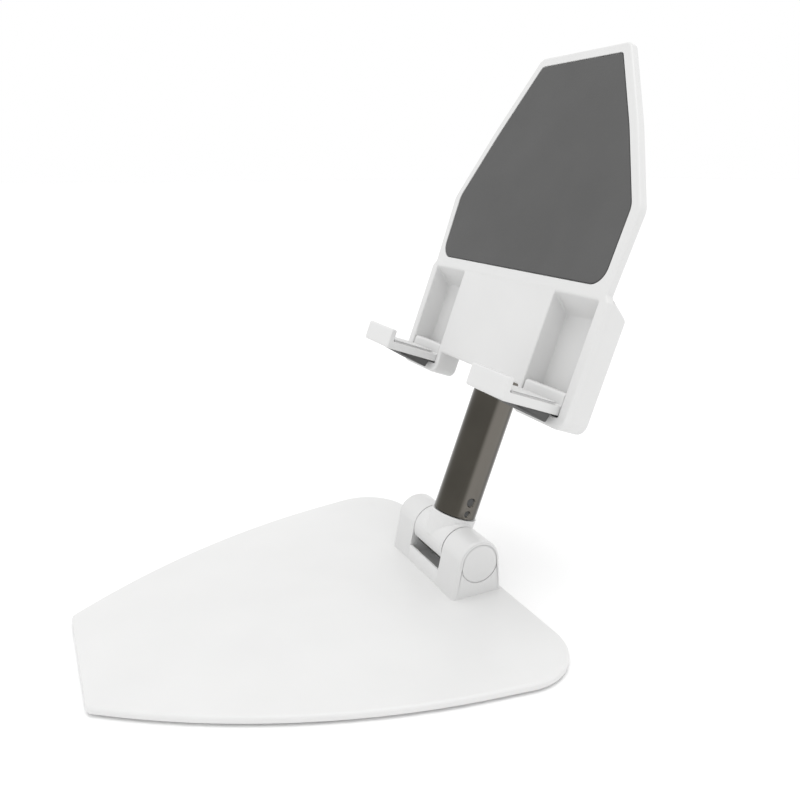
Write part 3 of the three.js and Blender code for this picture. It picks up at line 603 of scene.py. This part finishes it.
def bar(surface, rings):
    """A closed solid from one profile at successive places along X, which runs against the sense
    of the drawing axes, so its wall and ends face the other way."""
    marks = surface.wall(rings, inward=True)
    surface.cap(marks[0])
    surface.cap(marks[-1], True)


def make_hooks():
    """Each hook is one side profile, a barrel round the pin, an arm and a lip, drawn along X with rounded ends;
    the rubber strip and the dark grey wedge are profiles drawn the same way. The wedge is painted shade: dark
    rubber under each arm, where the arm's underside lies in shadow. The strip has a second, narrower bar that
    joins it to the arm."""
    for side, word in ((-1, "left"), (1, "right")):
        for label, corners, shorter, edge, material, slot in (
            ("hook", HOOK, 0.0, 0.3, WHITE_PLASTIC, "white_plastic"),
            ("hook_pad", STRIP, 0.1, 0.1, WHITE_RUBBER, "white_rubber"),
            # painted shade: the wedge's dark grey rubber stands in for the shadow under the arm
            ("hook_wedge", WEDGE, 0.5, 0.2, GREY_RUBBER, "grey_rubber"),
        ):
            ends = HOOK_IN + shorter, HOOK_OUT - shorter
            low, high = ends if side > 0 else (-ends[1], -ends[0])
            piece = Surface()
            bar(piece, [level_ring(corners, i, h) for i, h in levels(low, high, edge, edge)])
            if label == "hook_pad":
                bar(piece, [level_ring(STEM, 0, h) for h in (low + STEM_INSET, high - STEM_INSET)])
            piece.make(
                f"{label}_skin_{word}", on_hook, f"hook_{word}", material,
                [f"{label}_{word}"])


make_base()
make_block()
make_caps()
make_post()
make_head_front()
make_pad()
make_hooks()

# ------------------------------------------------------------------ floor, light and camera


def make_floor():
    """A wide plain plane just under the object."""
    mesh = bpy.data.meshes.new("floor")
    signs = ((-1, -1), (1, -1), (1, 1), (-1, 1))
    mesh.from_pydata([(x * FLOOR_HALF, y * FLOOR_HALF, FLOOR_Z) for x, y in signs], [], [range(4)])
    mesh.materials.append(
        finish_of("floor_white", (0.955, 0.955, 0.955), (0.96, 0.96, 0.96), (0.8, 0.9), scale=2.0))
    floor = bpy.data.objects.new("floor", mesh)
    bpy.context.scene.collection.objects.link(floor)


def make_world(strength):
    """White to the camera, and a plain soft light for everything else."""
    world = bpy.data.worlds.new("studio")
    bpy.context.scene.world = world
    world.use_nodes = True
    nodes, links = world.node_tree.nodes, world.node_tree.links
    nodes.clear()
    out = nodes.new("ShaderNodeOutputWorld")
    mix = nodes.new("ShaderNodeMixShader")
    soft = nodes.new("ShaderNodeBackground")
    soft.inputs["Strength"].default_value = strength
    white = nodes.new("ShaderNodeBackground")
    white.inputs["Color"].default_value = (1, 1, 1, 1)
    white.inputs["Strength"].default_value = 1.0
    soft.inputs["Color"].default_value = (1, 1, 1, 1)
    path = nodes.new("ShaderNodeLightPath")
    links.new(path.outputs["Is Camera Ray"], mix.inputs[0])
    links.new(soft.outputs[0], mix.inputs[1])
    links.new(white.outputs[0], mix.inputs[2])
    links.new(mix.outputs[0], out.inputs["Surface"])


def make_light(name, place, aim, size, power):
    """A square soft light at a place, turned to face its aim."""
    data = bpy.data.lights.new(name, "AREA")
    data.shape = "SQUARE"
    data.size = size
    data.energy = power
    light = bpy.data.objects.new(name, data)
    light.location = place
    light.rotation_euler = (Vector(aim) - Vector(place)).to_track_quat("-Z", "Y").to_euler()
    bpy.context.scene.collection.objects.link(light)


def make_camera():
    """Set by azimuth, 0 along +Y and 90 along -X, and by the angle it looks down."""
    azimuth, down = math.radians(CAMERA_AZIMUTH), math.radians(CAMERA_DOWN)
    level = math.cos(down)
    look = Vector((-math.sin(azimuth) * level, math.cos(azimuth) * level, -math.sin(down)))
    data = bpy.data.cameras.new("camera")
    data.lens = CAMERA_LENS
    data.sensor_width = CAMERA_SENSOR
    data.clip_start, data.clip_end = 0.01, 30
    camera = bpy.data.objects.new("camera", data)
    camera.location = CAMERA_PLACE
    camera.rotation_mode = "QUATERNION"
    camera.rotation_quaternion = look.to_track_quat("-Z", "Y")
    bpy.context.scene.collection.objects.link(camera)
    bpy.context.scene.camera = camera


make_floor()
make_world(WORLD_STRENGTH)
make_light("top", LAMP_PLACE, LAMP_AIM, LAMP_SIZE, LAMP_POWER)
make_camera()
bpy.context.scene.view_settings.view_transform = "Standard"
